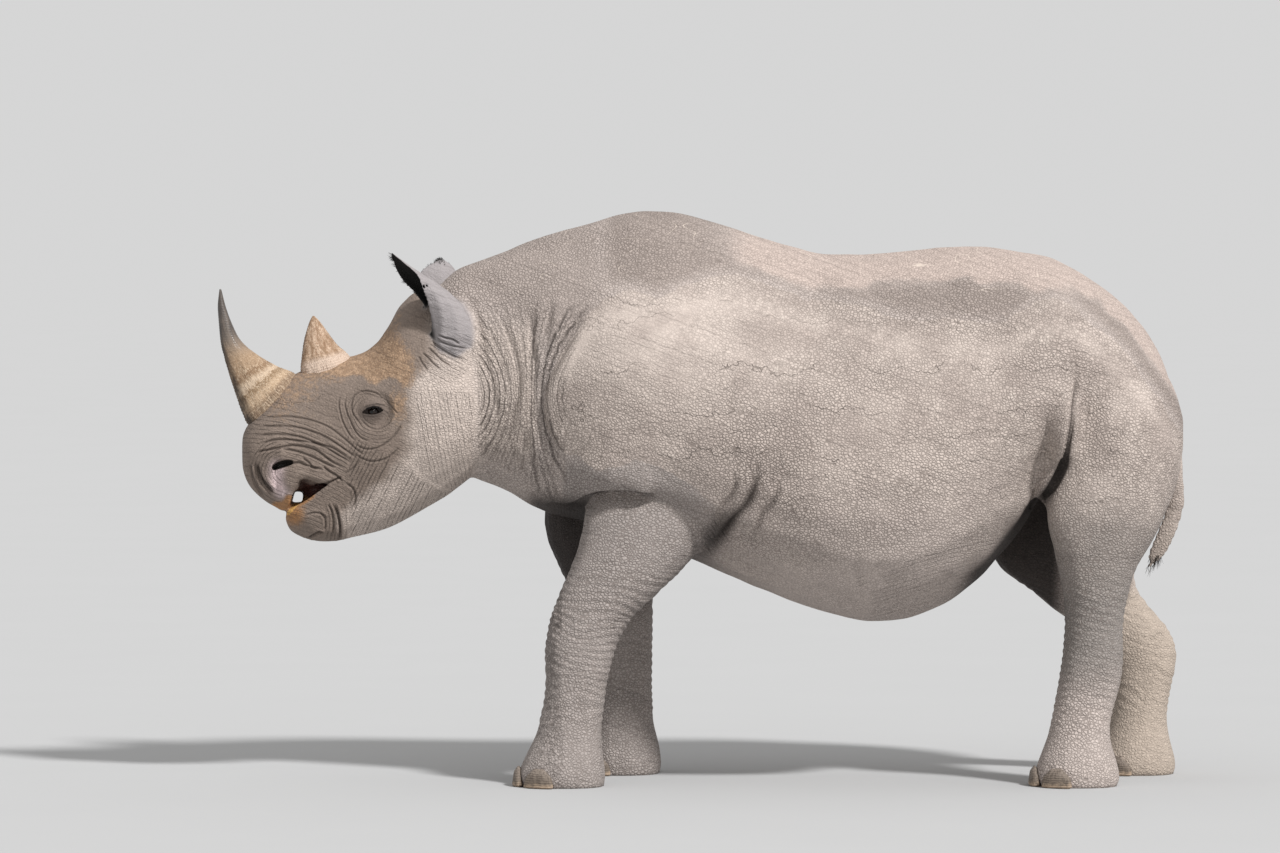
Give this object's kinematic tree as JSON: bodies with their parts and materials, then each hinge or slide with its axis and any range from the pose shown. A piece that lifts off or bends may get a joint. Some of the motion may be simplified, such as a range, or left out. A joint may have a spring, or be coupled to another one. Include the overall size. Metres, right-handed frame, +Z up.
{
  "type": "black rhinoceros",
  "caption": "Life-size still model of a black rhinoceros walking with its head level and mouth ajar, resting on flat soles.",
  "frame": {"origin": "middle of the animal's bounding box, at the floor under its soles", "axes": "-X towards the animal's nose, +Y towards its right side, +Z up"},
  "size_m": [2.798, 0.9522, 1.6519],
  "materials": {
    "mud_hide": "matt, dried mud over thick skin",
    "grey_hide": "matt, wrinkled thick skin",
    "ear_hide": "matt, thin skin with a dark hair fringe",
    "tail_hide": "matt, wrinkled",
    "front_horn_keratin": "fibrous keratin, rough at the base and polished at the tip",
    "rear_horn_keratin": "fibrous keratin, dry",
    "nail_keratin": "worn keratin",
    "eye_surface": "moist and glossy"
  },
  "bodies": {
    "root": {"trunk": "mud_hide", "neck": "grey_hide", "head": "grey_hide", "lower_jaw": "grey_hide", "eye_left": "eye_surface", "eye_right": "eye_surface", "front_horn": "front_horn_keratin", "rear_horn": "rear_horn_keratin", "ear_left": "ear_hide", "ear_right": "ear_hide", "foreleg_left_upper": "grey_hide", "foreleg_left_lower": "grey_hide", "foreleg_left_foot": "grey_hide", "foreleg_left_nail_1": "nail_keratin", "foreleg_left_nail_2": "nail_keratin", "foreleg_left_nail_3": "nail_keratin", "foreleg_right_upper": "grey_hide", "foreleg_right_lower": "grey_hide", "foreleg_right_foot": "grey_hide", "foreleg_right_nail_1": "nail_keratin", "foreleg_right_nail_2": "nail_keratin", "foreleg_right_nail_3": "nail_keratin", "hindleg_left_upper": "grey_hide", "hindleg_left_lower": "grey_hide", "hindleg_left_foot": "grey_hide", "hindleg_left_nail_1": "nail_keratin", "hindleg_left_nail_2": "nail_keratin", "hindleg_left_nail_3": "nail_keratin", "hindleg_right_upper": "grey_hide", "hindleg_right_lower": "grey_hide", "hindleg_right_foot": "grey_hide", "hindleg_right_nail_1": "nail_keratin", "hindleg_right_nail_2": "nail_keratin", "hindleg_right_nail_3": "nail_keratin", "tail_upper": "tail_hide", "tail_lower": "tail_hide"}
  },
  "joints": []
}
